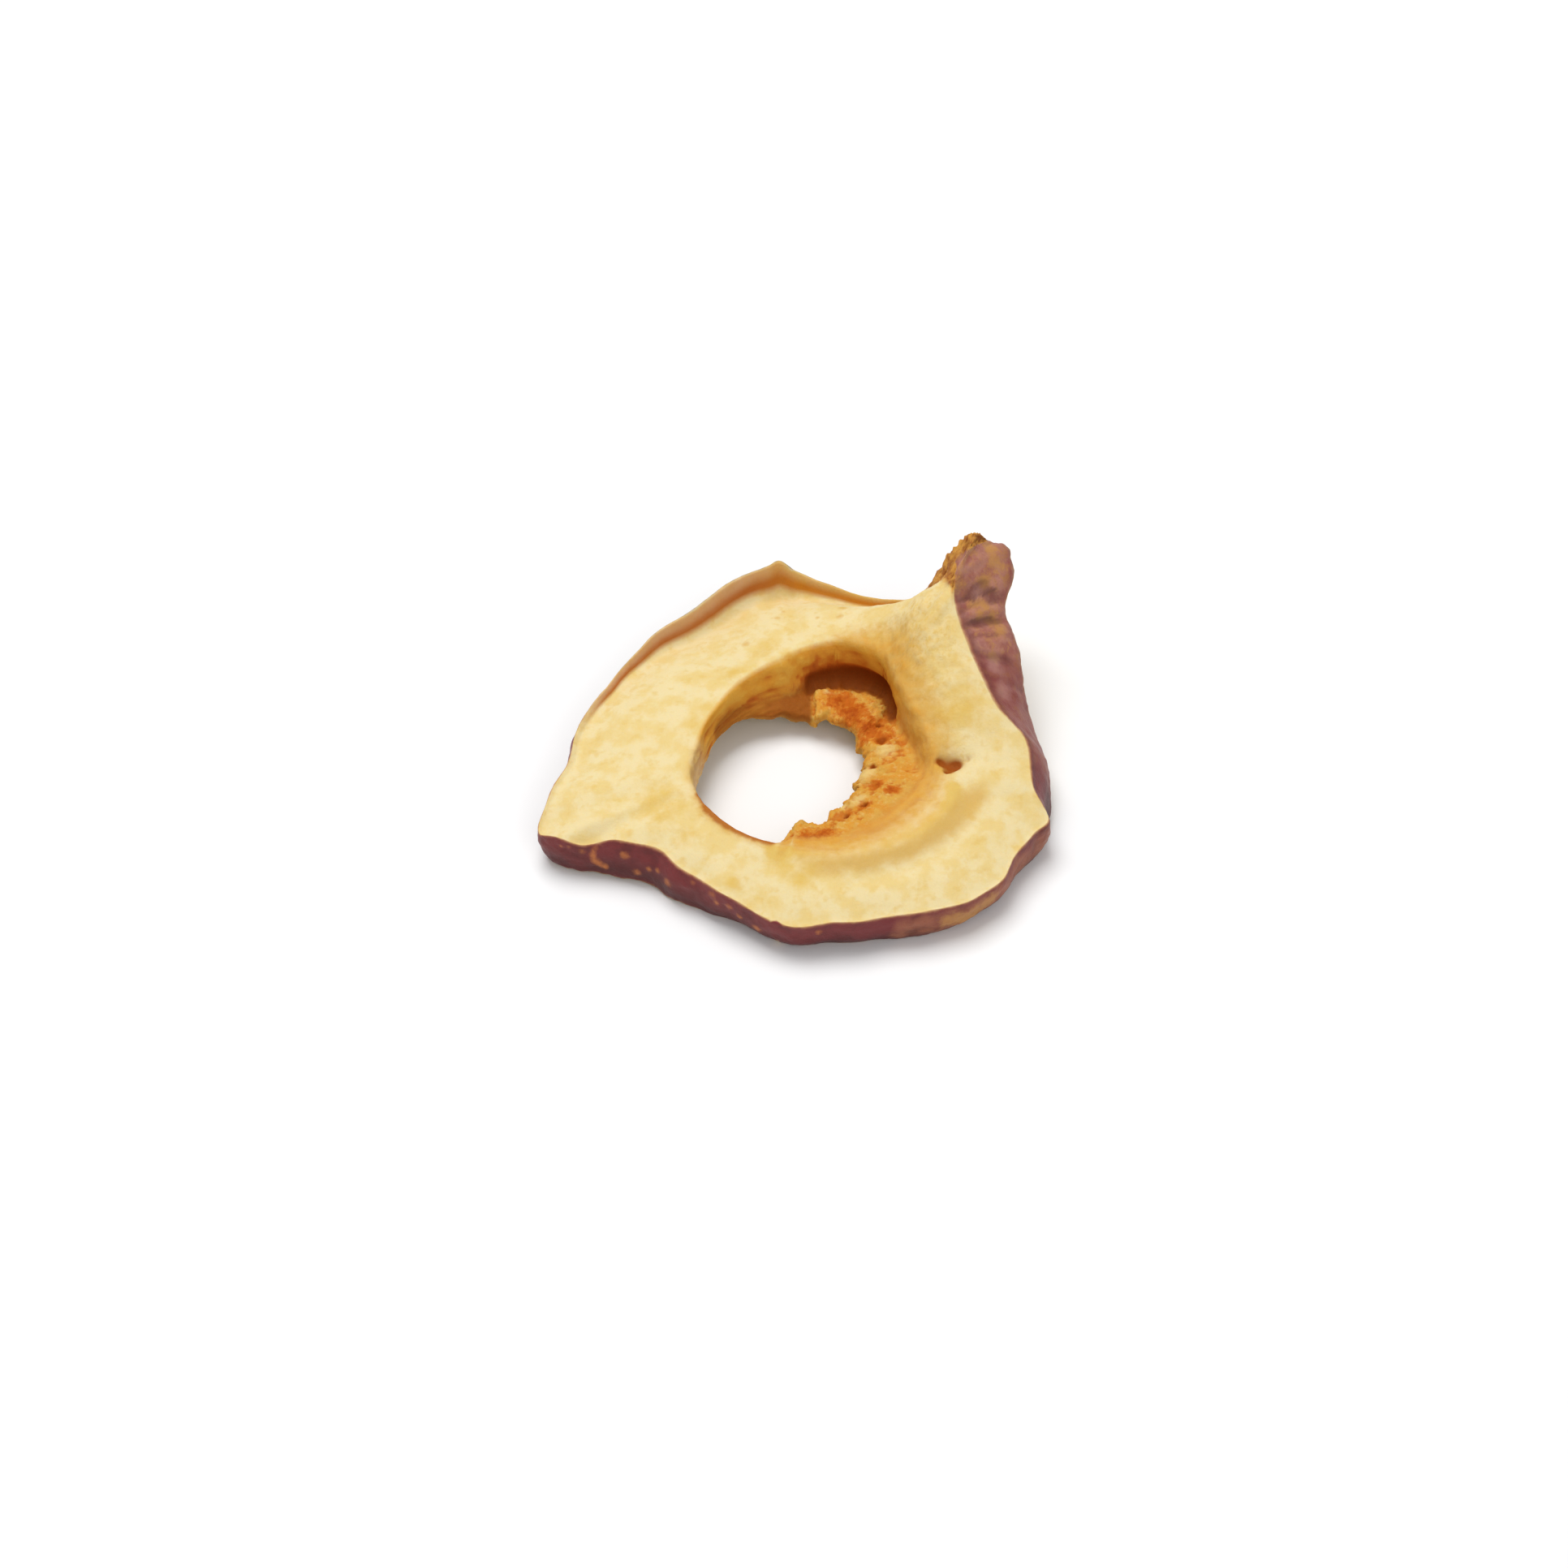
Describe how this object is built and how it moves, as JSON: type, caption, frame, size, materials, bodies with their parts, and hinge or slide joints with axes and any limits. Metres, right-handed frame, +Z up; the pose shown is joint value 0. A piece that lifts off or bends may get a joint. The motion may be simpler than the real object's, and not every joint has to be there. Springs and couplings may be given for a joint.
{
  "type": "dried apple ring",
  "caption": "Dried slice of cored apple, domed and curled, with plum skin round its rim, a raised lip, one corner folded up into an ear and a torn collar in its hole.",
  "frame": {"origin": "middle of the slice's footprint, on the surface it lies on", "axes": "+Z up, out of the cut face; +X across the slice towards its blunt right corner; +Y towards the side with the raised skin lip"},
  "size_m": [0.0632, 0.0582, 0.0219],
  "materials": {
    "apple_flesh": "matte dried fruit flesh, pale yellow, with a plum skin round the rim"
  },
  "bodies": {
    "root": {"apple_ring": "apple_flesh"}
  },
  "joints": []
}
